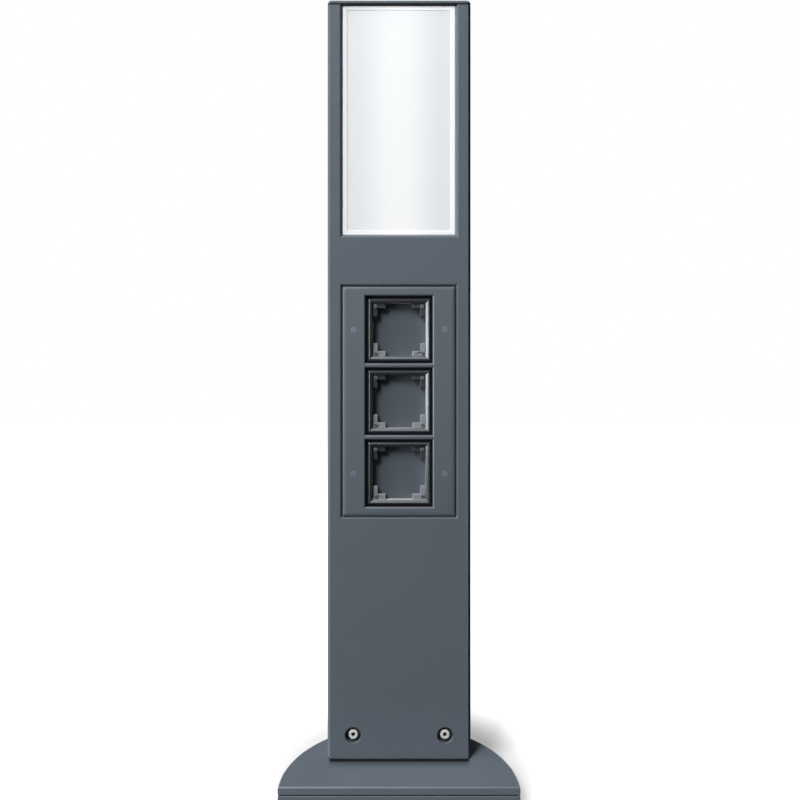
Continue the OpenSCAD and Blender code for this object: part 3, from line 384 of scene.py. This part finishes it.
def clip_nylon():
    """Dark nylon. The lower clips of each bay are painted paler as painted light, as they look in
    the photograph; the upper ones stay dark.
    """
    nylon = Finish("clip_nylon", (0.05, 0.058, 0.07), 0.22, Specular_IOR_Level=0.2)
    lowest, next_up = (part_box(node)[0].z for node in ("corner_clips_3", "corner_clips_2"))
    bay_pitch = next_up - lowest
    up_the_bay = nylon.start.maths("FRACT", (nylon.axis("Z") - lowest) * (1 / bay_pitch))
    # Painted light: the lower clips of each bay are paler, as if lit.
    lower = 1 - up_the_bay.step(0.3, 0.4)
    nylon.feed("Base Color", lower.tint((0.045, 0.053, 0.063), (0.26, 0.28, 0.31)))
    nylon.feed("Roughness", nylon.grain(6, detail=2) * 0.14 + 0.15)
    nylon.bump(nylon.grain(0.5, detail=1), 0.015)
    return nylon.material


def lamp_phosphor():
    """The lamp's tubes: almost white, with a clear coat over faint clouds."""
    glass = Finish("lamp_phosphor", (0.86, 0.86, 0.83), 0.14, Coat_Weight=0.6)
    cloud = glass.grain(18, detail=2)
    glass.feed("Base Color", cloud.tint((0.82, 0.82, 0.79), (0.9, 0.9, 0.88)))
    glass.feed("Roughness", cloud * 0.08 + 0.1)
    return glass.material


def enamel_sheet():
    """White enamel over rolled sheet, with streaks along Z."""
    sheet = Finish("white_enamel", (0.8, 0.8, 0.79), 0.34)
    roll = sheet.grain(20, detail=3, stretch=(1, 1, 5))
    sheet.feed("Base Color", roll.tint((0.76, 0.76, 0.75), (0.84, 0.84, 0.83)))
    sheet.feed("Roughness", roll * 0.12 + 0.28)
    sheet.bump(sheet.grain(1.2), 0.008)
    return sheet.material


clip_plastic = clip_nylon()
pale_plastic = moulded("pale_plastic", (0.70, 0.70, 0.67), 0.42)
lead_sheath = moulded("lead_sheath", (0.74, 0.74, 0.73), 0.38, grain_mm=1.2)
phosphor = lamp_phosphor()
enamel = enamel_sheet()
print("plastics, lamp and reflector mixed")

# %% [markdown]
# Every CAD node gets a finish, those that stay inside too, because the panel, the cover and the
# cap can be taken off. Here only a node's material slot changes. Its shape stays.

# %% Finishes for the CAD nodes
finish_of = {
    column_coat: ["column_profile", "cap_plate"],
    base_coat: ["base_plate", "base_cover"],
    panel_coat: ["socket_panel"],
    frame_coat: ["insert_frame_1", "insert_frame_2", "insert_frame_3"],
    tray_coat: ["blank_plate_1", "blank_plate_2", "blank_plate_3"],
    opal_white: ["diffuser"],
    black_rubber: ["base_seal", "cable_bush", "foot_seal", "panel_seal", "cap_seal", "lead_bush"],
    stainless: ["cover_screws", "foot_bolts", "plate_screws", "terminal_fixings", "gear_screws",
                "floor_screws", "holder_screws", "reflector_screws", "cap_screws"],
    zinc_flake: ["column_screws"],
    coated_steel: ["panel_screws"],
    grey_flake: ["clip_screws"],
    zinc_steel: ["foot_brackets", "bracket_nuts", "mounting_plate"],
    black_steel: ["chassis"],
    pad_alloy: ["screw_pads"],
    brass: ["terminal_screws", "earth_stud", "earth_nuts", "lamp_pins"],
    clip_plastic: ["corner_clips_1", "corner_clips_2", "corner_clips_3"],
    pale_plastic: ["device_box_1", "device_box_2", "device_box_3", "box_links", "terminal_block",
                   "control_gear", "lamp_holder", "lamp_base"],
    lead_sheath: ["lamp_lead"],
    phosphor: ["lamp_tubes"],
    enamel: ["light_floor", "reflector"],
}
node_finish = {node: finish for finish, names in finish_of.items() for node in names}


def put_on(obj, finish):
    """Gives an object this one finish."""
    obj.data.materials.clear()
    obj.data.materials.append(finish)


for node, obj in nodes.items():
    put_on(obj, node_finish[node])
print("nodes with a finish:", len(node_finish), "of", len(nodes))

# %% [markdown]
# No real edge is perfectly sharp. Extruded, cut and coated edges are round by a few tenths of a
# millimetre, and that thin round catches the light as a fine line, which makes much of the
# likeness here. It could be cut into the solids, but a Bevel modifier on a merged copy is easier:
# it rounds the edges that carry weight, and Weighted Normal keeps the faces between them flat to
# the eye. The moulded clips are rounded most. The short edges of the panel's screw holes get no
# weight: a round as wide as they are long would pull the flat face out of shape.

# %% Copies that stand in for a node
record = frame["record"]
body_of_node = {n: b for b, names in record["behaviour"]["bodies"].items() for n in names}
flat_joint = math.radians(0.5)


def merged_copy(node):
    """A mesh with the node's shape: its doubles are merged and its flat triangles joined."""
    mesh = nodes[node].data.copy()
    work = bmesh.new()
    work.from_mesh(mesh)
    bmesh.ops.remove_doubles(work, verts=work.verts, dist=1e-6)
    bmesh.ops.dissolve_limit(work, angle_limit=flat_joint, verts=work.verts, edges=work.edges)
    work.to_mesh(mesh)
    work.free()
    return mesh


def stand_in(obj, node):
    """The new object is shown instead of the node and takes its body."""
    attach(obj, body_of_node[node])
    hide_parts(node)
    return obj


print("bodies:", sorted(set(body_of_node.values())))

# %% Round edges
round_above = math.radians(28)


def weigh_edges(mesh, shortest):
    """Weight 1 for each edge that turns sharply enough and is long enough to be made round."""
    work = bmesh.new()
    work.from_mesh(mesh)
    weight = work.edges.layers.float.new("bevel_weight_edge")
    for edge in work.edges:
        turned = len(edge.link_faces) == 2 and edge.calc_face_angle() > round_above
        edge[weight] = float(turned and edge.calc_length() > shortest)
    work.to_mesh(mesh)
    work.free()


def soften(node, radius_mm, shortest_mm):
    """A merged copy of the node with its edges made round by a Bevel modifier."""
    obj = bpy.data.objects.new("soft_" + node, merged_copy(node))
    weigh_edges(obj.data, shortest_mm * MM)
    bpy.context.collection.objects.link(obj)
    put_on(obj, node_finish[node])
    obj.data.shade_smooth()
    bevel = obj.modifiers.new("round edges", "BEVEL")
    bevel.width = radius_mm * MM
    bevel.segments = 3
    bevel.limit_method = "WEIGHT"
    bevel.use_clamp_overlap = False
    obj.modifiers.new("flat faces", "WEIGHTED_NORMAL").keep_sharp = True
    return stand_in(obj, node)


edge_mm = {
    "column_profile": 0.35, "base_cover": 0.4, "base_plate": 0.5, "cap_plate": 0.25,
    "socket_panel": 0.45, "diffuser": 0.5,
    "insert_frame_1": 0.2, "insert_frame_2": 0.2, "insert_frame_3": 0.2,
    "corner_clips_1": 0.9, "corner_clips_2": 0.9, "corner_clips_3": 0.9,
}
sharp_below_mm = {"socket_panel": 1.2}
for node, radius in edge_mm.items():
    soften(node, radius, sharp_below_mm.get(node, 0.0))
print("softened:", len(edge_mm))

# %% [markdown]
# The CAD screws have plain shanks and sharp heads, so they are made again as surfaces. A profile
# that is spun round the axis has neither thread nor hexagon. One grid makes a whole screw: its
# rows run from the tip of the shank over the head to the middle of the socket, and its columns
# run round the axis. Radius and height change from row to row. Along the thread the radius also
# changes round the axis, and in the socket it is a hexagon's instead of a circle's. The walls and
# the floor of the socket can take a second, darker finish, which is painted shade in its depth.


# %% The points of a screw
thread_pitch = 0.8
round_axis = 60


def hexagon(turn, key):
    """From a hexagon's middle to its side: half the key over the cosine of the angle to the side."""
    off = np.mod(turn + math.pi / 6, math.pi / 3) - math.pi / 6
    return key / 2 / np.cos(off)


def screw_grid(shank_r, shank_l, head_r, head_h, key, sunk):
    """Points of a screw along +Z, in mm, with the top of its head at 0.

    Each point is radius(row, turn) times cosine and sine, and height(row). The shank's radius is
    a triangle wave along the thread. The head's edge is a quarter round, or on a sunk screw a
    cone. The socket's rows follow the hexagon, and the last row lies in the middle.
    """
    turn = np.linspace(0, 2 * math.pi, round_axis, endpoint=False)
    length = shank_l + head_h
    rows = max(8, int(shank_l / thread_pitch) * 4)
    along = np.linspace(length, head_h + 0.3 * thread_pitch, rows)
    thread_depth = thread_pitch * 0.45
    wound = along[:, None] / thread_pitch + turn / (2 * math.pi)
    wave = np.abs(np.mod(wound, 1.0) - 0.5) * 2
    thread = shank_r - thread_depth * (1 - wave)
    tip = np.clip((length - along) / (0.6 * thread_pitch), 0.55, 1)[:, None]
    radii = [np.zeros((1, round_axis)), thread * tip]
    heights = [[length], along]
    if sunk:
        head = [(shank_r, head_h), (head_r, 0.25), (head_r, 0.12), (head_r - 0.12, 0.0)]
    else:
        edge = min(0.5, 0.3 * head_h)
        bend = np.linspace(0, math.pi / 2, 5)
        head = [(shank_r, head_h), (head_r - edge / 2, head_h), (head_r, head_h - edge / 2)]
        head += [(head_r - edge * (1 - math.cos(b)), edge * (1 - math.sin(b))) for b in bend]
    for radius, height in head:
        radii.append(np.full((1, round_axis), radius))
        heights.append([height])
    flats = hexagon(turn, key)[None, :]
    rim = np.minimum(flats * 1.09, head_r * 0.97)
    socket_d = 0.55 * head_h
    socket = [(rim, 0.0), (flats, 0.1 * head_h), (flats, socket_d), (flats * 0.0, socket_d * 1.2)]
    for radius, height in socket:
        radii.append(radius)
        heights.append([height])
    radius = np.concatenate(radii)
    height = np.concatenate([np.asarray(h, float) for h in heights])[:, None] * np.ones_like(radius)
    return np.stack([radius * np.cos(turn), radius * np.sin(turn), height], axis=-1)


print("rows, columns and coordinates of one screw:", screw_grid(3, 20, 5, 6, 4, False).shape)


# %% One mesh from many grids
def closed_surface(grids):
    """Vertices and faces of grids that close round their columns.

    Each face joins two rows and two columns. The faces between the last three rows, which line
    the socket, are marked with a 1.
    """
    points, faces, inside, start = [], [], [], 0
    for grid in grids:
        rows, columns = grid.shape[:2]
        index = np.arange(rows * columns).reshape(rows, columns) + start
        right = np.roll(index, -1, axis=1)
        quads = np.stack([index[:-1], right[:-1], right[1:], index[1:]], axis=-1)
        points.append(grid.reshape(-1, 3))
        faces.append(quads.reshape(-1, 4))
        inside.append(np.repeat(np.arange(rows - 1) >= rows - 3, columns))
        start += rows * columns
    return np.concatenate(points), np.concatenate(faces), np.concatenate(inside).astype(int)


def surface_object(name, grids, finish, shaded_lining):
    """A smooth mesh object from closed grids, its poles merged and its faces turned outwards."""
    points, faces, inside = closed_surface(grids)
    mesh = bpy.data.meshes.new(name)
    mesh.from_pydata(points.tolist(), [], faces.tolist())
    mesh.materials.append(finish)
    mesh.materials.append(shaded_lining)
    mesh.polygons.foreach_set("material_index", inside)
    work = bmesh.new()
    work.from_mesh(mesh)
    bmesh.ops.remove_doubles(work, verts=work.verts, dist=1e-7)
    bmesh.ops.recalc_face_normals(work, faces=work.faces)
    work.to_mesh(mesh)
    work.free()
    mesh.shade_smooth()
    mesh.set_sharp_from_angle(angle=math.radians(35))
    obj = bpy.data.objects.new(name, mesh)
    bpy.context.collection.objects.link(obj)
    return obj


print("mesh helpers ready")

# %% [markdown]
# Where each screw sits and how long it is are read from the CAD, not typed again: the copy of a
# node is split into its separate solids, and each solid's box gives the middle and the length.
# Only the way it points and the sizes of its thread, head and key are typed.


# %% Boxes of the separate solids in a node
def solid_boxes(node):
    """Lowest and highest corner of each solid: vertices joined by edges belong together."""
    mesh = merged_copy(node)
    work = bmesh.new()
    work.from_mesh(mesh)
    left, boxes = set(work.verts), []
    while left:
        island, reached = set(), [next(iter(left))]
        while reached:
            vert = reached.pop()
            if vert in island:
                continue
            island.add(vert)
            reached.extend(link.other_vert(vert) for link in vert.link_edges)
        left -= island
        corners = np.array([v.co for v in island], float)
        boxes.append((corners.min(axis=0), corners.max(axis=0)))
    work.free()
    bpy.data.meshes.remove(mesh)
    return sorted(boxes, key=lambda box: tuple(np.round(box[0], 5)))


print("solids in column_screws:", len(solid_boxes("column_screws")))

# %% [markdown]
# The sizes are those of the CAD, with three exceptions: the column screws have a smaller head and
# key, and the panel screws a smaller key, because that looks more like the photograph. One pitch
# of thread does for all, since it hardly shows.

# %% Screws with threads and sockets
# Which way the shank points: the number of the axis, and 1 or -1 along it
BACKWARDS, UPWARDS, DOWNWARDS = (1, 1), (2, 1), (2, -1)
# Thread, head diameter, head height and key in mm, whether the head is sunk, and the way it points
screw_kinds = {
    "column_screws": (6.0, 9.2, 6.0, 3.6, False, BACKWARDS),
    "panel_screws": (3.0, 6.0, 1.5, 1.3, True, BACKWARDS),
    "clip_screws": (2.0, 3.8, 1.5, 1.5, False, BACKWARDS),
    "cap_screws": (4.0, 8.0, 2.0, 2.5, True, DOWNWARDS),
    "cover_screws": (5.0, 10.0, 2.5, 3.0, True, UPWARDS),
    "foot_bolts": (6.0, 12.0, 3.0, 4.0, True, UPWARDS),
    "plate_screws": (4.0, 7.0, 2.6, 3.0, False, BACKWARDS),
    "floor_screws": (4.0, 7.0, 2.6, 3.0, False, BACKWARDS),
    "reflector_screws": (4.0, 7.0, 2.6, 3.0, False, BACKWARDS),
    "gear_screws": (4.0, 7.0, 2.6, 3.0, False, BACKWARDS),
    "terminal_fixings": (3.0, 5.6, 2.0, 2.5, False, BACKWARDS),
    "holder_screws": (3.0, 5.6, 2.0, 2.5, False, DOWNWARDS),
}


def along_axis(grid, middle, top, points):
    """Lays a grid that was made along +Z onto the axis that its shank points along."""
    axis, sense = points
    laid = np.empty_like(grid)
    first, second = (i for i in range(3) if i != axis)
    laid[..., first] = grid[..., 0] + middle[first]
    laid[..., second] = grid[..., 1] + middle[second]
    laid[..., axis] = top + sense * grid[..., 2]
    return laid


def make_screws(node, thread_d, head_d, head_h, key, sunk, points):
    """One object with all screws of a node, each placed on its solid's box."""
    finish = node_finish[node]
    # Painted shade: sockets take the dark steel, except on the coated panel screws.
    shaded_lining = finish if finish == coated_steel else dark_steel
    axis, sense = points
    grids = []
    for low, high in solid_boxes(node):
        shank_l = (high[axis] - low[axis]) / MM - head_h
        grid = screw_grid(thread_d / 2, shank_l, head_d / 2, head_h, key, sunk) * MM
        top = low[axis] if sense == 1 else high[axis]
        grids.append(along_axis(grid, (low + high) / 2, top, points))
    return stand_in(surface_object("threaded_" + node, grids, finish, shaded_lining), node)


for node, kind in screw_kinds.items():
    made = make_screws(node, *kind)
    print(made.name, len(made.data.polygons), "faces")

# %% [markdown]
# The studio's floor is a pale plate. Lit to white by lamps, it would light the post from below,
# so only the camera sees it pale, and other rays find a dull one. What the camera sees glows
# white by itself far from the post, and less near it, where the rest is the lamps' light, which
# the post's shadow takes away.

# %% Floor
floor_half = 6
floor_points = [[x * floor_half, y * floor_half, 0] for x, y in ((-1, -1), (1, -1), (1, 1), (-1, 1))]
floor_mesh = bpy.data.meshes.new("pale_floor")
floor_mesh.from_pydata(floor_points, [], [(0, 1, 2, 3)])
floor = bpy.data.objects.new("pale_floor", floor_mesh)
bpy.context.collection.objects.link(floor)
print("floor:", 2 * floor_half, "metres wide")

# %% The floor's finish
shadow_start, shadow_end = 105 * MM, 175 * MM
glow_near, glow_far = 0.35, 1.0
floor_material = bpy.data.materials.new("pale_floor")
floor_material.use_nodes = True
floor_material.node_tree.nodes.clear()
tiles = Signal(floor_material.node_tree)
spot = tiles.add("ShaderNodeTexCoord", output="Object")
base_middle = tuple((a + b) / 2 for a, b in zip(*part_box("base_plate")))
away = tiles.add("ShaderNodeVectorMath", {"operation": "DISTANCE"},
                 {0: spot, 1: base_middle}, output="Value")
glow = away.step(shadow_start, shadow_end) * (glow_far - glow_near) + glow_near
own_light = tiles.add("ShaderNodeEmission", inputs={"Color": (1, 1, 1, 1), "Strength": glow})
pale = tiles.add("ShaderNodeBsdfDiffuse", inputs={"Color": (0.6, 0.6, 0.6, 1)})
shown = tiles.add("ShaderNodeAddShader", inputs={0: own_light, 1: pale})
dull = tiles.add("ShaderNodeBsdfDiffuse", inputs={"Color": (0.05, 0.05, 0.05, 1)})
seen = tiles.add("ShaderNodeLightPath", output="Is Camera Ray")
floor_look = tiles.add("ShaderNodeMixShader", inputs={0: seen, 1: dull, 2: shown})
tiles.add("ShaderNodeOutputMaterial", inputs={"Surface": floor_look})
put_on(floor, floor_material)
print("floor's finish mixed")

# %% [markdown]
# The room is white for the camera and for rays that pass through something. Mirror rays see it
# white in front and towards the front left, and almost black everywhere else, so that shiny edges
# which face right or back stay dark. All other rays see a very dim grey, which leaves the light
# on the post to the lamps.

# %% World
world = bpy.data.worlds.new("pale_room")
bpy.context.scene.world = world
world.use_nodes = True
world.node_tree.nodes.clear()
room = Signal(world.node_tree)
seen = room.add("ShaderNodeLightPath", output="Is Camera Ray")
mirrored = room.add("ShaderNodeLightPath", output="Is Glossy Ray")
through = room.add("ShaderNodeLightPath", output="Is Transmission Ray")
direction = room.add("ShaderNodeTexCoord", output="Generated")
to_right, to_back = (room.add("ShaderNodeSeparateXYZ", inputs={"Vector": direction}, output=axis)
                     for axis in "XY")
shut_side = room.maths("MAXIMUM", to_right.step(0.05, 0.45), to_back.step(-0.5, 0.1))
open_side = 1 - shut_side * 0.97
white_for = room.maths("MAXIMUM", room.maths("MAXIMUM", seen, mirrored * open_side), through)
dim = room.add("ShaderNodeBackground", inputs={"Color": (0.9, 0.95, 1.0, 1), "Strength": 0.015})
white = room.add("ShaderNodeBackground", inputs={"Color": (1, 1, 1, 1), "Strength": 1.0})
room_look = room.add("ShaderNodeMixShader", inputs={0: white_for, 1: dim, 2: white})
room.add("ShaderNodeOutputWorld", inputs={"Surface": room_look})
print("room ready")

# %% [markdown]
# The light comes from the front left and from above: the bays are shaded at the top and on the
# left, and every edge that faces right or down is almost black. The key light stands there. A
# wide box at the left is what the slanted edges that face left mirror, and a narrow one overhead
# does the same for those that face up. Two weak lamps behind the post keep its back readable
# from other sides, and hardly reach anything that the first view shows.


# %% Lamps
def soft_box(name, azimuth, elevation, distance, width, height, watts, aim_z):
    """An area lamp that faces the post. Azimuth 0 is in front of it, and left is negative."""
    a, e = math.radians(azimuth), math.radians(elevation)
    data = bpy.data.lights.new(name, "AREA")
    data.shape = "RECTANGLE"
    data.size = width
    data.size_y = height
    data.energy = watts
    lamp = bpy.data.objects.new(name, data)
    out = Vector((math.sin(a) * math.cos(e), -math.cos(a) * math.cos(e), math.sin(e)))
    lamp.location = out * distance + Vector((0, 0, aim_z))
    lamp.rotation_euler = out.to_track_quat("Z", "Y").to_euler()
    bpy.context.collection.objects.link(lamp)


# Azimuth and elevation in degrees, distance, width and height in metres, watts, and the height
# on the post that it faces
soft_box("key light", -34, 43, 3.6, 1.2, 1.8, 112, 0.4)
soft_box("left box", -75, 0, 3.2, 2.2, 1.3, 108, 0.4)
soft_box("overhead", -30, 76, 3.4, 0.4, 0.9, 25, 0.3)
soft_box("back left", -140, -3, 2.6, 1.0, 0.6, 12, 0.45)
soft_box("back right", 150, -3, 2.6, 1.0, 0.6, 12, 0.45)

# %% [markdown]
# The Standard view shows a colour about as it is written. Blender's usual view, AgX, bends bright
# tones down, so the white room would turn grey.

# %% Picture settings
bpy.context.scene.view_settings.view_transform = "Standard"
print("view transform:", bpy.context.scene.view_settings.view_transform)
